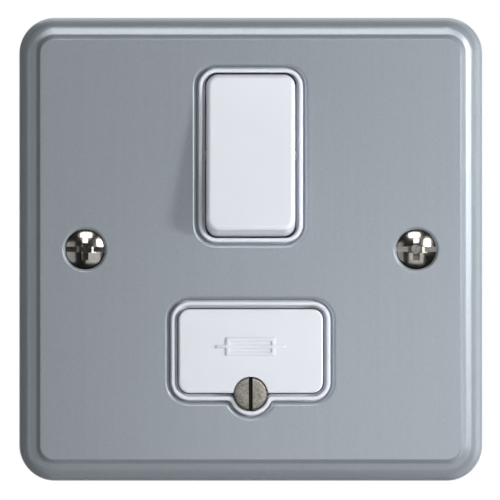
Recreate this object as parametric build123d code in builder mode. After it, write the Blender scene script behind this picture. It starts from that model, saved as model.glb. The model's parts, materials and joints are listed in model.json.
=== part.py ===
from build123d import *
from math import cos, radians, sin, sqrt, tan
import os

os.makedirs("parts", exist_ok=True)

# Switched fused connection unit, in millimetres.
# The rear rim of the plate lies on the wall plane y = 0, the room is towards -Y and the wall towards +Y.
# The origin is midway between the two fixing screws.

# Front plate, pressed from sheet
PLATE_SIZE = 84.5
PLATE_CORNER = 6.5
PLATE_DEPTH = 8.0
SHEET = 1.2
RIM_ROUND = 2.6
BAND_SLOPE = 10.0
PANEL_INSET = 3.35
PANEL_RISE = 0.95
PANEL_SLOPE = 60.0
PANEL_SHOULDER = 0.3
PANEL_FOOT = 0.6
APERTURE_EDGE = 0.85

# Fixing screws and their dimples
FIXING_CENTRES = 60.3
FIXING_SHANK = 3.5
FIXING_NECK = 2.9
FIXING_RUNOUT = 0.6
FIXING_LENGTH = 25.0
FIXING_HEAD = 7.0
FIXING_DOME = 0.9
FIXING_SLOT = 0.9
FIXING_SLOT_DEPTH = 0.8
FIXING_CROSS = 4.2
FIXING_CROSS_DEPTH = 1.7
FIXING_HOLE = 4.2
DIMPLE_MOUTH = 8.0
DIMPLE_EDGE = 0.4
DIMPLE_LAND = 0.8
COUNTERSINK = 45.0
SEAT_GAP = 0.03

# Collars of the front moulding
COLLAR_PROUD = 0.6
COLLAR_WALL = 0.75
COLLAR_EDGE = 0.3
COLLAR_TO_PLATE = 0.25
LEDGE_BEHIND_COLLAR = 1.7
LEDGE_GAP = 0.2

# Rocker
ROCKER_ABOVE = 17.1
ROCKER_WIDTH = 16.2
ROCKER_END_RADIUS = 14.85
ROCKER_FACE = 5.0
ROCKER_CROWN = 0.25
ROCKER_CORNER = 2.2
ROCKER_EDGE = 0.9
ROCKER_WALL = 1.6
ROCKER_SKIRT = 3.0
ROCKER_TILT = 7.0
PIVOT_BEHIND_FACE = 2.0
TRUNNION = 1.8
TRUNNION_LENGTH = 1.0
BEARING_GAP = 0.05
BEARING_END = 0.1
WELL_SIDE_GAP = 0.65
WELL_END_GAP = 0.2
WELL_CORNER = 2.5

# Plungers and springs in the rocker
POLE_OFFSET = 4.0
PLUNGER = 3.0
PLUNGER_GAP = 0.05
PLUNGER_REACH = 9.0
PLUNGER_LENGTH = 8.0
BORE_WALL = 0.75
BORE_BACK = 4.5
SPRING_DIAMETER = 2.6
SPRING_WIRE = 0.45
SPRING_TURNS = 4.0
SPRING_END_GAP = 0.05

# See-saw contacts
SEESAW_TILT = 12.0
SEESAW_GAP = 0.1
BLADE_WIDTH = 5.0
BLADE = 0.8
BLADE_UP = 8.0
BLADE_DOWN = 6.5
FULCRUM = 0.8
FULCRUM_GAP = 0.05
FULCRUM_DROP = 0.2
CRADLE_DROP = 0.45
CRADLE_WALL = 0.6
TIP_ARM = 6.0
TIP_DIAMETER = 3.0
TIP_DOME = 2.5
TIP_HEIGHT = 1.1
TIP_GAP = 0.06

# Fuse carrier and its captive screw
CARRIER_BELOW = 18.5
CARRIER_WIDTH = 26.3
CARRIER_HEIGHT = 15.3
CARRIER_CORNER = 2.0
CARRIER_EDGE = 0.45
CARRIER_FACE = 3.0
CARRIER_PROUD = 0.6
CARRIER_SKIRT = 5.0
CARRIER_WALL = 1.4
CARRIER_GAP = 0.6
RETAINER_BELOW = 7.8
RETAINER_HEAD = 6.0
RETAINER_HEAD_HEIGHT = 2.0
RETAINER_SHANK = 2.9
RETAINER_LENGTH = 12.5
RETAINER_SLOT = 0.8
RETAINER_SLOT_DEPTH = 1.4
RETAINER_GAP = 0.15
LUG_LENGTH = 5.0
LUG_HOLE = 3.1
BULGE_BLEND = 0.8
WASHER_DIAMETER = 5.0
WASHER = 0.5
INSERT_DIAMETER = 4.6
INSERT_LENGTH = 6.0
INSERT_WALL = 1.1
THREAD_GAP = 0.05

# Cartridge fuse and its clips
FUSE_LENGTH = 25.4
FUSE_DIAMETER = 6.35
FUSE_CAP = 6.0
FUSE_BARREL = 5.6
FUSE_ABOVE = 1.5
CAP_WALL = 0.35
CAP_EDGE = 0.5
SADDLE_WALL = 1.2
SADDLE_WIDTH = 2.4
SADDLE_OFFSET = 4.3
SADDLE_GAP = 0.05
SADDLE_MOUTH = 4.4
CLIP_WIDTH = 5.0
CLIP_SHEET = 0.6
CLIP_GAP = 0.1
CLIP_LIP = 1.4
CLIP_FLARE = 0.8
CLIP_REACH = 1.6

# Body: front moulding, rear housing
BODY_WIDTH = 49.0
BODY_END = 0.45
BODY_CORNER = 3.0
BODY_WALL = 1.8
FLANGE = 2.0
PARTING_DEPTH = 6.0
FLOOR_DEPTH = 8.8
FLOOR = 2.0
WELL_WALL = 1.4
BANK_DEPTH = 17.6
BANK_HEIGHT = 9.5
BARRIER = 1.2
BARRIER_DEPTH = 3.0
BARRIER_GAP = 0.5
CORE_WIDTH = 3.4
CORE_HEIGHT = 5.0
STOP_HEIGHT = 1.2
STOP_GAP = 0.15
PAD_LENGTH = 5.0
HOUSING_EDGE = 0.6
RIB = 1.6
RIB_HEIGHT = 2.0
RIB_OFFSET = 8.0

# Conducting strips and terminals
STRIP = 0.8
STRIP_WIDTH = 3.0
TAB_WIDTH = 5.0
TAB_INSET = 1.5
NEUTRAL_RUN = 15.5
BEND = 0.7
TERMINAL_PITCH = 16.0
TERMINAL_WIDTH = 7.4
TERMINAL_LENGTH = 6.4
TERMINAL_HEIGHT = 7.0
TERMINAL_EDGE = 0.4
WIRE_BORE = 4.4
WIRE_BEHIND_STRIP = 3.1
POCKET_GAP = 0.15
TERMINAL_SHANK = 3.5
TERMINAL_HEAD = 5.4
TERMINAL_HEAD_HEIGHT = 1.3
TERMINAL_SLOT = 0.9
TERMINAL_SLOT_DEPTH = 0.7
EARTH_FOOT = 3.3

# Screws and bushes that hold the body to the plate
ASSEMBLY_OFFSET = 21.0
ASSEMBLY_BELOW = 3.0
ASSEMBLY_SHANK = 2.9
ASSEMBLY_HEAD = 5.4
ASSEMBLY_HEAD_HEIGHT = 1.7
ASSEMBLY_GAP = 0.15
BUSH_DIAMETER = 4.4
BUSH_LENGTH = 4.0
COLUMN_WALL = 1.0
THREAD_END = 0.8
HEAD_EDGE = 0.3

# Depths worked out from the sizes above, as y
plate_front = -PLATE_DEPTH
plate_back = plate_front + SHEET
foot_front = plate_front + PANEL_RISE
panel_step = PANEL_RISE / tan(radians(PANEL_SLOPE))
# The panel carries the dimples with a land around them, so on a small plate the band is narrower.
dimple_reach = (FIXING_CENTRES + DIMPLE_MOUTH) / 2 + DIMPLE_LAND
panel_inset = min(PANEL_INSET, PLATE_SIZE / 2 - dimple_reach - panel_step)
rim_front = foot_front + panel_inset * tan(radians(BAND_SLOPE))
panel_edge = panel_inset + panel_step
collar_front = plate_front - COLLAR_PROUD
ledge_front = collar_front + LEDGE_BEHIND_COLLAR
flange_back = plate_back + FLANGE
strip_front = FLOOR_DEPTH - STRIP
pivot_y = plate_front + PIVOT_BEHIND_FACE
blade_front_to_axis = BLADE + FULCRUM_DROP
seesaw_y = pivot_y + PLUNGER_REACH + SEESAW_GAP + blade_front_to_axis
cradle_front = seesaw_y + CRADLE_DROP
cradle_inside = seesaw_y + FULCRUM + FULCRUM_GAP + CRADLE_WALL
carrier_front = collar_front - CARRIER_PROUD
carrier_back = carrier_front + CARRIER_FACE
fuse_y = strip_front - CLIP_GAP - FUSE_DIAMETER / 2
terminal_back = FLOOR_DEPTH + TERMINAL_HEIGHT
wire_y = FLOOR_DEPTH + WIRE_BEHIND_STRIP
retainer_seat = carrier_front + RETAINER_HEAD_HEIGHT
lug_back = retainer_seat + LUG_LENGTH
housing_back = FLOOR_DEPTH + FLOOR

# Heights worked out from the sizes above, as z
rocker_z = ROCKER_ABOVE
carrier_z = -CARRIER_BELOW
retainer_z = carrier_z - RETAINER_BELOW
fuse_z = carrier_z + FUSE_ABOVE
body_top = ROCKER_ABOVE + ROCKER_END_RADIUS + WELL_END_GAP + WELL_WALL + BODY_END
body_height = 2 * body_top
terminal_z = body_top - TERMINAL_LENGTH / 2
chamber_top = body_top - TERMINAL_LENGTH + POCKET_GAP
terminal_tail = TERMINAL_LENGTH - body_top
clip_x = FUSE_LENGTH / 2 - FUSE_CAP / 2
tip_reach = TIP_DOME - TIP_HEIGHT + FULCRUM_DROP
tip_z = rocker_z + TIP_ARM * cos(radians(SEESAW_TILT)) + tip_reach * sin(radians(SEESAW_TILT))
fixed_tip_front = (
    seesaw_y
    + TIP_ARM * sin(radians(SEESAW_TILT))
    - tip_reach * cos(radians(SEESAW_TILT))
    + TIP_DOME
    + TIP_GAP
)
fixing_places = (FIXING_CENTRES / 2, -FIXING_CENTRES / 2)
assembly_places = ((ASSEMBLY_OFFSET, -ASSEMBLY_BELOW), (-ASSEMBLY_OFFSET, -ASSEMBLY_BELOW))
well_width = ROCKER_WIDTH + 2 * WELL_SIDE_GAP
well_height = 2 * (ROCKER_END_RADIUS + WELL_END_GAP)


def at_depth(y):
    """Sketch plane that faces the room at a depth behind the wall plane."""
    return Plane.XZ.offset(-y)


def tilted_face(y, z, angle):
    """Plane through a hinge axis that faces the room, tipped upwards by an angle."""
    normal = (0, -cos(radians(angle)), sin(radians(angle)))
    return Plane(origin=(0, y, z), x_dir=(1, 0, 0), z_dir=normal)


def side_of(face):
    """Plane across the hinge axis of a tilted face: local x runs up the face, local y out of it."""
    return Plane(origin=face.origin, x_dir=face.y_dir, z_dir=face.x_dir)


def finish(piece, name):
    """Label a finished piece and write it."""
    piece.part.label = name
    export_step(piece.part, f"parts/{name}.step")


def rocker_outline(margin):
    """Rocker well grown by a margin, as a flat sketch."""
    with BuildSketch() as outline:
        with Locations((0, rocker_z)):
            RectangleRounded(well_width + 2 * margin, well_height + 2 * margin, WELL_CORNER + margin)
    return outline.sketch


def throat_outline():
    """Opening behind the ledges of the rocker well, as a flat sketch."""
    with BuildSketch() as outline:
        with Locations((0, rocker_z)):
            RectangleRounded(ROCKER_WIDTH + 2 * LEDGE_GAP, well_height, ROCKER_CORNER)
    return outline.sketch


def carrier_outline(margin, bulge_margin):
    """Carrier and the round bulge for its screw, each grown by a margin, as a flat sketch."""
    with BuildSketch() as outline:
        with Locations((0, carrier_z)):
            RectangleRounded(
                CARRIER_WIDTH + 2 * margin, CARRIER_HEIGHT + 2 * margin, CARRIER_CORNER + margin
            )
        with Locations((0, retainer_z)):
            Circle(RETAINER_HEAD / 2 + RETAINER_GAP + bulge_margin)
        bulge_meets = outline.vertices().filter_by(lambda v: abs(v.X) < CARRIER_WIDTH / 3)
        fillet(bulge_meets, BULGE_BLEND)
    return outline.sketch


def pressed_corner(inset, depth, slope_before, slope_after, skin):
    """Corner of the pressed profile, taken in by a skin: distance from the plate's edge, and depth."""
    before = radians(slope_before)
    after = radians(slope_after)
    share = skin / (1 + cos(before - after))
    return inset + share * (sin(before) + sin(after)), depth + share * (cos(before) + cos(after))


def ring_at(piece, y):
    """Edges of a piece that lie at one depth all along."""
    return piece.edges().filter_by(
        lambda e: abs(e.bounding_box().min.Y - y) < SEAT_GAP and abs(e.bounding_box().max.Y - y) < SEAT_GAP
    )


def pressed_form(skin):
    """Solid inside the plate's pressed outline: upright rim, sloping band, step and raised panel."""
    corners = (
        (skin, 0),
        pressed_corner(0, rim_front, 90, BAND_SLOPE, skin),
        pressed_corner(panel_inset, foot_front, BAND_SLOPE, PANEL_SLOPE, skin),
        pressed_corner(panel_edge, plate_front, PANEL_SLOPE, 0, skin),
    )
    with BuildPart() as form:
        for inset, depth in corners:
            with BuildSketch(at_depth(depth)):
                side = PLATE_SIZE - 2 * inset
                RectangleRounded(side, side, PLATE_CORNER - inset)
        loft(ruled=True)
        fillet(ring_at(form, corners[1][1]), RIM_ROUND - skin)
    return form.part


plate_solid = pressed_form(0)
plate_hollow = pressed_form(SHEET)
aperture_margin = COLLAR_WALL + COLLAR_TO_PLATE
panel_land = PLATE_SIZE / 2 - panel_edge - rocker_z - well_height / 2 - aperture_margin
rocker_well = rocker_outline(0)
rocker_throat = throat_outline()
rocker_collar = rocker_outline(COLLAR_WALL)
rocker_well_outside = rocker_outline(WELL_WALL)
rocker_aperture = rocker_outline(aperture_margin)
carrier_well = carrier_outline(CARRIER_GAP, 0)
carrier_throat = carrier_outline(LEDGE_GAP, 0)
carrier_collar = carrier_outline(CARRIER_GAP + COLLAR_WALL, COLLAR_WALL)
carrier_well_outside = carrier_outline(CARRIER_GAP + WELL_WALL, WELL_WALL)
carrier_aperture = carrier_outline(CARRIER_GAP + aperture_margin, aperture_margin)

# Front plate
countersink_slope = tan(radians(COUNTERSINK))
dimple_run = (DIMPLE_MOUTH - FIXING_HOLE) / 2 / countersink_slope
dimple_back = plate_front + dimple_run + SHEET * sin(radians(COUNTERSINK))
dimple_root = DIMPLE_MOUTH / 2 + SHEET * tan(radians(45 - COUNTERSINK / 2))
dimple_throat = dimple_root - (dimple_back - plate_back) * countersink_slope
with BuildPart() as front_plate:
    add(plate_solid)
    fillet(ring_at(front_plate, plate_front), PANEL_SHOULDER)
    fillet(ring_at(front_plate, foot_front), PANEL_FOOT)
    add(plate_hollow, mode=Mode.SUBTRACT)
    with BuildSketch(at_depth(plate_back)):
        add(rocker_aperture)
        add(carrier_aperture)
    extrude(amount=SHEET, mode=Mode.SUBTRACT)
    rolled_edge = min(APERTURE_EDGE, panel_land / 2)
    fillet(front_plate.faces().sort_by(Axis.Y)[0].inner_wires().edges(), rolled_edge)
    for middle in fixing_places:
        with BuildSketch(Plane.XY):
            with BuildLine():
                Polyline(
                    (middle, plate_back),
                    (middle + dimple_root, plate_back),
                    (middle + dimple_throat, dimple_back),
                    (middle, dimple_back),
                    close=True,
                )
            make_face()
        revolve(axis=Axis((middle, 0, 0), (0, 1, 0)))
        with BuildSketch(Plane.XY):
            with BuildLine():
                Polyline(
                    (middle, plate_front),
                    (middle + DIMPLE_MOUTH / 2, plate_front),
                    (middle + FIXING_HOLE / 2, plate_front + dimple_run),
                    (middle + FIXING_HOLE / 2, dimple_back),
                    (middle, dimple_back),
                    close=True,
                )
            make_face()
        revolve(axis=Axis((middle, 0, 0), (0, 1, 0)), mode=Mode.SUBTRACT)
    mouths = front_plate.edges().filter_by(GeomType.CIRCLE).group_by(Axis.Y)[0]
    fillet(mouths.filter_by(lambda e: abs(e.radius - DIMPLE_MOUTH / 2) < DIMPLE_EDGE), DIMPLE_EDGE)
finish(front_plate, "front_plate")

# Fixing screws: raised countersunk heads with a slot and a cross recess
fixing_rim = plate_front + (DIMPLE_MOUTH - FIXING_HEAD) / 2 / countersink_slope - SEAT_GAP
fixing_top = fixing_rim - FIXING_DOME
fixing_neck = fixing_rim + (FIXING_HEAD - FIXING_NECK) / 2 / countersink_slope
fixing_thread = dimple_back + FIXING_RUNOUT
fixing_tip = fixing_rim + FIXING_LENGTH
with BuildPart() as fixing_screws:
    for middle in fixing_places:
        with BuildSketch(Plane.XY):
            with BuildLine():
                dome = TangentArc(
                    (middle, fixing_top), (middle + FIXING_HEAD / 2, fixing_rim), tangent=(1, 0)
                )
                Polyline(
                    dome @ 1,
                    (middle + FIXING_NECK / 2, fixing_neck),
                    (middle + FIXING_NECK / 2, fixing_thread),
                    (middle + FIXING_SHANK / 2, fixing_thread),
                    (middle + FIXING_SHANK / 2, fixing_tip),
                    (middle, fixing_tip),
                    dome @ 0,
                )
            make_face()
        revolve(axis=Axis((middle, 0, 0), (0, 1, 0)))
    with BuildSketch(at_depth(fixing_top + FIXING_SLOT_DEPTH)):
        with Locations([(middle, 0) for middle in fixing_places]):
            Rectangle(FIXING_HEAD, FIXING_SLOT)
    extrude(amount=FIXING_SLOT_DEPTH, mode=Mode.SUBTRACT)
    with BuildSketch(at_depth(fixing_top + FIXING_CROSS_DEPTH)):
        with Locations([(middle, 0) for middle in fixing_places]):
            Rectangle(FIXING_CROSS, FIXING_SLOT)
            Rectangle(FIXING_SLOT, FIXING_CROSS)
    extrude(amount=FIXING_CROSS_DEPTH, mode=Mode.SUBTRACT)
finish(fixing_screws, "fixing_screws")

# Front moulding: flange, skirt, two wells with their collars, screw columns and clamping pads
column_radius = BUSH_DIAMETER / 2 + SEAT_GAP + COLUMN_WALL
terminal_places = [
    (row * TERMINAL_PITCH, end * terminal_z) for end in (1, -1) for row in (-1, 0, 1)
]
earth_places = ((-TERMINAL_PITCH, 1), (TERMINAL_PITCH, -1))
strap_slot = STRIP + SEAT_GAP
earth_slot = EARTH_FOOT + SEAT_GAP
with BuildPart() as front_moulding:
    with BuildSketch(at_depth(PARTING_DEPTH)):
        RectangleRounded(BODY_WIDTH, body_height, BODY_CORNER)
    extrude(amount=PARTING_DEPTH - plate_back)
    with BuildSketch(at_depth(PARTING_DEPTH)):
        RectangleRounded(BODY_WIDTH - 2 * BODY_WALL, body_height - 2 * BODY_WALL, BODY_CORNER - BODY_WALL)
    extrude(amount=PARTING_DEPTH - flange_back, mode=Mode.SUBTRACT)
    with BuildSketch(at_depth(PARTING_DEPTH)):
        add(rocker_well_outside)
        add(carrier_well_outside)
        with Locations(assembly_places):
            Circle(column_radius)
    extrude(amount=PARTING_DEPTH - flange_back)
    with BuildSketch(at_depth(strip_front - SEAT_GAP)):
        with Locations(terminal_places):
            Rectangle(TAB_WIDTH, TERMINAL_LENGTH - 2 * POCKET_GAP)
    extrude(amount=PAD_LENGTH)
    with BuildSketch(at_depth(plate_back)):
        add(rocker_collar)
        add(carrier_collar)
    extrude(amount=plate_back - collar_front)
    with BuildSketch(at_depth(PARTING_DEPTH)):
        add(rocker_throat)
        add(carrier_throat)
    extrude(amount=PARTING_DEPTH - collar_front, mode=Mode.SUBTRACT)
    with BuildSketch(at_depth(ledge_front)):
        add(rocker_well)
        add(carrier_well)
    extrude(amount=ledge_front - collar_front, mode=Mode.SUBTRACT)
    fillet(front_moulding.faces().group_by(Axis.Y)[0].edges(), COLLAR_EDGE)
    with BuildSketch(at_depth(PARTING_DEPTH)):
        with Locations((0, retainer_z)):
            Circle(INSERT_DIAMETER / 2 + INSERT_WALL)
    extrude(amount=INSERT_LENGTH)
    with BuildSketch(at_depth(PARTING_DEPTH)):
        with Locations((0, retainer_z)):
            Circle(INSERT_DIAMETER / 2 + SEAT_GAP)
    extrude(amount=INSERT_LENGTH, mode=Mode.SUBTRACT)
    with BuildSketch(at_depth(PARTING_DEPTH)):
        with Locations(assembly_places):
            Circle(ASSEMBLY_SHANK / 2 + ASSEMBLY_GAP)
    extrude(amount=PARTING_DEPTH - plate_back, mode=Mode.SUBTRACT)
    with BuildSketch(at_depth(plate_back + BUSH_LENGTH)):
        with Locations(assembly_places):
            Circle(BUSH_DIAMETER / 2 + SEAT_GAP)
    extrude(amount=BUSH_LENGTH, mode=Mode.SUBTRACT)
    with BuildSketch(Plane.YZ):
        with Locations((pivot_y, rocker_z)):
            Circle(TRUNNION / 2 + BEARING_GAP)
    extrude(amount=ROCKER_WIDTH / 2 + TRUNNION_LENGTH + BEARING_END, both=True, mode=Mode.SUBTRACT)
    for x, end in earth_places:
        with BuildSketch(Plane.YZ.offset(x)):
            with Locations(((plate_back + strip_front) / 2, end * (body_top - strap_slot / 2))):
                Rectangle(strip_front - plate_back, strap_slot)
            with Locations((plate_back + strap_slot / 2, end * (body_top - earth_slot / 2))):
                Rectangle(strap_slot, earth_slot)
        extrude(amount=TAB_WIDTH / 2 + SEAT_GAP, both=True, mode=Mode.SUBTRACT)
finish(front_moulding, "front_moulding")

# Rear housing: contact chamber, open terminal pockets in two banks, stiffening ribs
stop_arm = BLADE_DOWN - STOP_HEIGHT
stop_front = (
    seesaw_y
    + stop_arm * sin(radians(SEESAW_TILT))
    - FULCRUM_DROP * cos(radians(SEESAW_TILT))
    + STOP_GAP
)
pole_places = (POLE_OFFSET, -POLE_OFFSET)
with BuildPart() as rear_housing:
    with BuildSketch(at_depth(housing_back)):
        RectangleRounded(BODY_WIDTH, body_height, BODY_CORNER)
    extrude(amount=housing_back - PARTING_DEPTH)
    with BuildSketch(at_depth(BANK_DEPTH)):
        with Locations((0, body_top - BANK_HEIGHT / 2), (0, BANK_HEIGHT / 2 - body_top)):
            RectangleRounded(BODY_WIDTH, BANK_HEIGHT, BODY_CORNER)
    extrude(amount=BANK_DEPTH - housing_back)
    fillet(rear_housing.faces().filter_by(Axis.Y).group_by(Axis.Y)[-1].edges(), HOUSING_EDGE)
    with BuildSketch(at_depth(housing_back + RIB_HEIGHT)):
        with Locations((RIB_OFFSET, 0), (-RIB_OFFSET, 0)):
            Rectangle(RIB, body_height - 2 * BANK_HEIGHT + 2 * RIB)
    extrude(amount=RIB_HEIGHT)
    with BuildSketch(at_depth(FLOOR_DEPTH)):
        RectangleRounded(BODY_WIDTH - 2 * BODY_WALL, 2 * chamber_top, BODY_CORNER - BODY_WALL)
    extrude(amount=FLOOR_DEPTH - PARTING_DEPTH, mode=Mode.SUBTRACT)
    with BuildSketch(at_depth(BANK_DEPTH)):
        with Locations(terminal_places):
            Rectangle(TERMINAL_WIDTH + 2 * POCKET_GAP, TERMINAL_LENGTH + 2 * POCKET_GAP)
    extrude(amount=BANK_DEPTH - PARTING_DEPTH, mode=Mode.SUBTRACT)
    with BuildSketch(at_depth(BANK_DEPTH)):
        with Locations(
            [(row * TERMINAL_PITCH / 2, end * terminal_z) for end in (1, -1) for row in (-1, 1)]
        ):
            Rectangle(CORE_WIDTH, CORE_HEIGHT)
    extrude(amount=BANK_DEPTH - housing_back, mode=Mode.SUBTRACT)
    with BuildSketch(at_depth(FLOOR_DEPTH)):
        with Locations((0, rocker_z)):
            Rectangle(BARRIER, BLADE_UP + BLADE_DOWN)
    extrude(amount=FLOOR_DEPTH - BARRIER_DEPTH)
    with BuildSketch(at_depth(FLOOR_DEPTH)):
        with Locations([(x, rocker_z - stop_arm) for x in pole_places]):
            Rectangle(BLADE_WIDTH, STOP_HEIGHT)
    extrude(amount=FLOOR_DEPTH - stop_front)
    with BuildSketch(at_depth(FLOOR_DEPTH)):
        with Locations(assembly_places):
            Circle(column_radius)
    extrude(amount=FLOOR_DEPTH - PARTING_DEPTH)
    with BuildSketch(at_depth(housing_back)):
        with Locations(assembly_places):
            Circle(ASSEMBLY_SHANK / 2 + ASSEMBLY_GAP)
    extrude(amount=housing_back - PARTING_DEPTH, mode=Mode.SUBTRACT)
finish(rear_housing, "rear_housing")

# Bushes fixed to the back of the plate, and the screws that hold the body to them
with BuildPart() as plate_bushes:
    with BuildSketch(at_depth(plate_back + BUSH_LENGTH)):
        with Locations(assembly_places):
            Circle(BUSH_DIAMETER / 2)
            Circle(ASSEMBLY_SHANK / 2 + THREAD_GAP, mode=Mode.SUBTRACT)
    extrude(amount=BUSH_LENGTH)
finish(plate_bushes, "plate_bushes")

with BuildPart() as assembly_screws:
    with BuildSketch(at_depth(housing_back)):
        with Locations(assembly_places):
            Circle(ASSEMBLY_SHANK / 2)
    extrude(amount=housing_back - plate_back - THREAD_END)
    with BuildSketch(at_depth(housing_back + ASSEMBLY_HEAD_HEIGHT)):
        with Locations(assembly_places):
            Circle(ASSEMBLY_HEAD / 2)
    extrude(amount=ASSEMBLY_HEAD_HEIGHT)
    fillet(assembly_screws.edges().group_by(Axis.Y)[-1], HEAD_EDGE)
    with BuildSketch(at_depth(housing_back + ASSEMBLY_HEAD_HEIGHT)):
        with Locations(assembly_places):
            Rectangle(ASSEMBLY_HEAD, TERMINAL_SLOT)
    extrude(amount=TERMINAL_SLOT_DEPTH, mode=Mode.SUBTRACT)
finish(assembly_screws, "assembly_screws")

# Terminal blocks: a wire bore from the edge of the body and a clamping screw from behind
terminal_names = (
    "supply_earth_terminal",
    "supply_neutral_terminal",
    "supply_live_terminal",
    "load_neutral_terminal",
    "load_live_terminal",
    "load_earth_terminal",
)
for name, (x, z) in zip(terminal_names, terminal_places):
    with BuildPart() as terminal:
        with BuildSketch(at_depth(terminal_back)):
            with Locations((x, z)):
                Rectangle(TERMINAL_WIDTH, TERMINAL_LENGTH)
        extrude(amount=TERMINAL_HEIGHT)
        fillet(terminal.edges().filter_by(Axis.Y), TERMINAL_EDGE)
        with BuildSketch(Plane.XY.offset(z - TERMINAL_LENGTH / 2)):
            with Locations((x, wire_y)):
                Circle(WIRE_BORE / 2)
        extrude(amount=TERMINAL_LENGTH, mode=Mode.SUBTRACT)
        with BuildSketch(at_depth(terminal_back)):
            with Locations((x, z)):
                Circle(TERMINAL_SHANK / 2 + THREAD_GAP)
        extrude(amount=terminal_back - wire_y, mode=Mode.SUBTRACT)
    finish(terminal, name)

with BuildPart() as terminal_screws:
    with BuildSketch(at_depth(terminal_back)):
        with Locations(terminal_places):
            Circle(TERMINAL_SHANK / 2)
    extrude(amount=terminal_back - wire_y - WIRE_BORE / 2)
    with BuildSketch(at_depth(terminal_back + TERMINAL_HEAD_HEIGHT)):
        with Locations(terminal_places):
            Circle(TERMINAL_HEAD / 2)
    extrude(amount=TERMINAL_HEAD_HEIGHT)
    fillet(terminal_screws.edges().group_by(Axis.Y)[-1], HEAD_EDGE)
    with BuildSketch(at_depth(terminal_back + TERMINAL_HEAD_HEIGHT)):
        with Locations(terminal_places):
            Rectangle(TERMINAL_HEAD, TERMINAL_SLOT)
    extrude(amount=TERMINAL_SLOT_DEPTH, mode=Mode.SUBTRACT)
finish(terminal_screws, "terminal_screws")

# Conducting strips lie flat on the floor of the rear housing, with their ends on the terminal blocks
strip_end = body_top - TAB_INSET
barrier_top = rocker_z + (BLADE_UP + BLADE_DOWN) / 2
pole_inner = POLE_OFFSET - BLADE_WIDTH / 2


def strip_run(x1, z1, x2, z2):
    """Flat stretch of strip between two corners, in the sketch being drawn."""
    with Locations(((x1 + x2) / 2, (z1 + z2) / 2)):
        Rectangle(abs(x2 - x1), abs(z2 - z1))


def cradle_section(x):
    """Section of the folded cradle that a see-saw's fulcrum rocks in."""
    with BuildSketch(Plane.YZ.offset(x)) as section:
        with Locations(((cradle_front + strip_front) / 2, rocker_z)):
            Rectangle(strip_front - cradle_front, STRIP_WIDTH)
        with Locations(((cradle_inside + strip_front) / 2, rocker_z)):
            Rectangle(strip_front - cradle_inside, STRIP_WIDTH - 2 * CRADLE_WALL, mode=Mode.SUBTRACT)
        with Locations((seesaw_y, rocker_z)):
            Circle(FULCRUM + FULCRUM_GAP, mode=Mode.SUBTRACT)
    return section.sketch


def clip_section(x):
    """Section of the two sprung arms, with flared lips, that grip a fuse cap."""
    inside = FUSE_DIAMETER / 2 + CLIP_GAP
    lip_y = fuse_y - CLIP_REACH
    with BuildSketch(Plane.YZ.offset(x)) as section:
        for end in (1, -1):
            with BuildLine():
                Polyline(
                    (strip_front, fuse_z + end * inside),
                    (lip_y, fuse_z + end * inside),
                    (lip_y - CLIP_LIP, fuse_z + end * (inside + CLIP_FLARE)),
                    (lip_y - CLIP_LIP, fuse_z + end * (inside + CLIP_FLARE + CLIP_SHEET)),
                    (lip_y, fuse_z + end * (inside + CLIP_SHEET)),
                    (strip_front, fuse_z + end * (inside + CLIP_SHEET)),
                    close=True,
                )
            make_face()
    return section.sketch


clip_half = FUSE_DIAMETER / 2 + CLIP_GAP + CLIP_SHEET
with BuildPart() as supply_live_strip:
    with BuildSketch(at_depth(FLOOR_DEPTH)):
        strip_run(
            pole_inner,
            tip_z - TIP_DIAMETER / 2,
            TERMINAL_PITCH + TAB_WIDTH / 2,
            tip_z + TIP_DIAMETER / 2,
        )
        strip_run(TERMINAL_PITCH - TAB_WIDTH / 2, tip_z, TERMINAL_PITCH + TAB_WIDTH / 2, strip_end)
    extrude(amount=STRIP)
finish(supply_live_strip, "supply_live_strip")

with BuildPart() as supply_neutral_strip:
    with BuildSketch(at_depth(FLOOR_DEPTH)):
        strip_run(-pole_inner, tip_z - TIP_DIAMETER / 2, -pole_inner - BLADE_WIDTH, chamber_top)
        strip_run(-TAB_WIDTH / 2, barrier_top + BARRIER_GAP, TAB_WIDTH / 2, strip_end)
    extrude(amount=STRIP)
finish(supply_neutral_strip, "supply_neutral_strip")

with BuildPart() as live_link:
    with BuildSketch(at_depth(FLOOR_DEPTH)):
        strip_run(
            pole_inner,
            rocker_z - STRIP_WIDTH / 2,
            clip_x + STRIP_WIDTH / 2,
            rocker_z + STRIP_WIDTH / 2,
        )
        strip_run(clip_x - STRIP_WIDTH / 2, rocker_z, clip_x + STRIP_WIDTH / 2, fuse_z)
        strip_run(clip_x - CLIP_WIDTH / 2, fuse_z - clip_half, clip_x + CLIP_WIDTH / 2, fuse_z + clip_half)
    extrude(amount=STRIP)
    extrude(cradle_section(POLE_OFFSET), amount=BLADE_WIDTH / 2, both=True)
    extrude(clip_section(clip_x), amount=CLIP_WIDTH / 2, both=True)
finish(live_link, "live_link")

load_run_z = (fuse_z - clip_half + terminal_tail) / 2
with BuildPart() as load_live_strip:
    with BuildSketch(at_depth(FLOOR_DEPTH)):
        strip_run(-clip_x - CLIP_WIDTH / 2, fuse_z - clip_half, -clip_x + CLIP_WIDTH / 2, fuse_z + clip_half)
        strip_run(-clip_x - STRIP_WIDTH / 2, fuse_z, -clip_x + STRIP_WIDTH / 2, load_run_z - STRIP_WIDTH / 2)
        strip_run(
            -clip_x - STRIP_WIDTH / 2,
            load_run_z - STRIP_WIDTH / 2,
            TAB_WIDTH / 2,
            load_run_z + STRIP_WIDTH / 2,
        )
        strip_run(-TAB_WIDTH / 2, load_run_z, TAB_WIDTH / 2, -strip_end)
    extrude(amount=STRIP)
    extrude(clip_section(-clip_x), amount=CLIP_WIDTH / 2, both=True)
finish(load_live_strip, "load_live_strip")

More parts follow.
